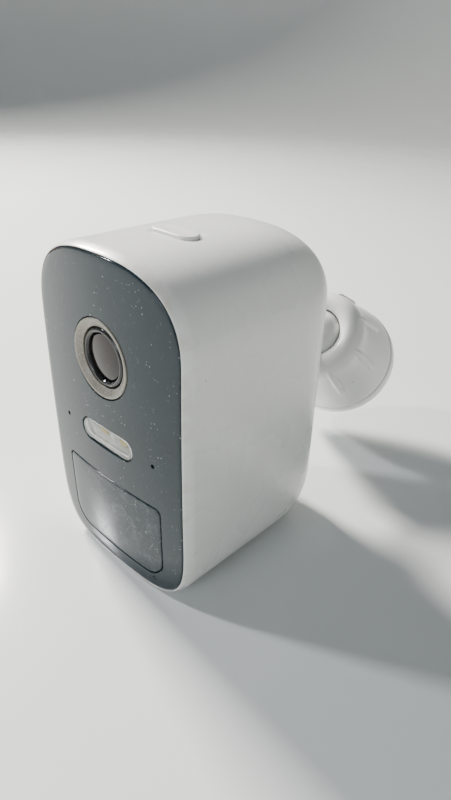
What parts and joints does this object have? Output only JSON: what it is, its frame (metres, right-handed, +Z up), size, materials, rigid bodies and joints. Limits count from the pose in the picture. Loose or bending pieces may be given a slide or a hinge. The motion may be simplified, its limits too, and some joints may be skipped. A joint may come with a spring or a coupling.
{
  "type": "outdoor security camera",
  "caption": "Battery-powered outdoor camera with a dark lens panel, motion sensor and spotlight, on a ball-joint wall mount with a twist-lock collar.",
  "frame": {"origin": "on the flat underside of the housing, 30 mm behind the middle of the lens panel, on the centre line", "axes": "+X is the width, +Y runs from the lens panel back to the wall mount, +Z is up"},
  "size_m": [0.057, 0.1318, 0.0952],
  "materials": {
    "white": "satin gloss, moulded",
    "gloss_black": "polished",
    "trim_grey": "satin",
    "black_plastic": "matte",
    "lens_glass": "coated and polished",
    "frosted": "frosted",
    "phosphor": "matte",
    "rubber": "matte",
    "grey_rubber": "matte",
    "board": "solder mask",
    "steel": "plated",
    "brass": "turned",
    "cell_wrap": "shrink wrap"
  },
  "bodies": {
    "housing": {"main_shell": "white", "spotlight_reflector": "white", "front_panel": "gloss_black", "pir_lens": "gloss_black", "lens_trim_ring": "trim_grey", "lens_barrel": "black_plastic", "lens_holder": "black_plastic", "pir_holder": "black_plastic", "chassis": "black_plastic", "battery_cradle": "black_plastic", "speaker": "black_plastic", "sync_switch": "black_plastic", "ir_led_left": "black_plastic", "ir_led_right": "black_plastic", "lens_front_element": "lens_glass", "spotlight_window": "frosted", "light_sensor": "frosted", "status_light_pipe": "frosted", "status_led": "frosted", "spotlight_led_left": "phosphor", "spotlight_led_right": "phosphor", "front_seal": "rubber", "microphone_boot": "rubber", "speaker_gasket": "rubber", "button_seal": "rubber", "stud_washer": "rubber", "led_board": "board", "ir_board": "board", "sensor_board": "board", "pir_board": "board", "main_board": "board", "switch_board": "board", "port_board": "board", "wifi_antenna": "board", "image_sensor": "steel", "pir_sensor": "steel", "microphone": "steel", "usb_port": "steel", "board_screw_lower_left": "steel", "board_screw_lower_right": "steel", "board_screw_upper_left": "steel", "board_screw_upper_right": "steel", "battery_link_top": "steel", "battery_link_bottom": "steel", "mount_insert": "brass", "battery_cell_left": "cell_wrap", "battery_cell_right": "cell_wrap"},
    "button": {"sync_button": "white"},
    "plunger": {"switch_plunger": "frosted"},
    "flap": {"port_flap": "grey_rubber"},
    "ball_stud": {"stud_screw": "steel", "ball": "white"},
    "seat": {"ball_seat": "grey_rubber"},
    "base": {"wall_base": "white"},
    "clamp": {"clamp_ring": "black_plastic"},
    "collar": {"lock_collar": "white"}
  },
  "joints": [
    {"name": "button_press", "type": "slide", "parent": "housing", "child": "button", "axis": [0, 0, -1], "range_m": [0, 0.0006], "stiffness_N_per_m": 2000},
    {"name": "switch_press", "type": "slide", "parent": "housing", "child": "plunger", "axis": [0, 0, -1], "range_m": [0, 0.0006]},
    {"name": "flap_swing", "type": "hinge", "parent": "housing", "child": "flap", "pos_m": [0, 0.0348, 0.0307], "axis": [1, 0, 0], "range_deg": [0, 100]},
    {"name": "stud_turn", "type": "hinge", "parent": "housing", "child": "ball_stud", "pos_m": [0, 0.064, 0.046], "axis": [0, 1, 0], "continuous": true},
    {"name": "ball_tilt", "type": "hinge", "parent": "ball_stud", "child": "seat", "pos_m": [0, 0.064, 0.046], "axis": [-0.9698, 0, 0.2441], "range_deg": [-80, 2]},
    {"name": "base_roll", "type": "hinge", "parent": "seat", "child": "base", "pos_m": [0, 0.064, 0.046], "axis": [-0.1564, 0.7676, -0.6216], "continuous": true},
    {"name": "clamp_slide", "type": "slide", "parent": "base", "child": "clamp", "axis": [0.1564, -0.7676, 0.6216], "range_m": [0, 0.00066667]},
    {"name": "collar_turn", "type": "hinge", "parent": "clamp", "child": "collar", "pos_m": [0, 0.064, 0.046], "axis": [0.1564, -0.7676, 0.6216], "range_deg": [0, 120]}
  ],
  "couplings": [
    {"joint": "switch_press", "follows": "button_press", "ratio": 1},
    {"joint": "clamp_slide", "follows": "collar_turn", "m_per_rad": 0.00031831}
  ]
}
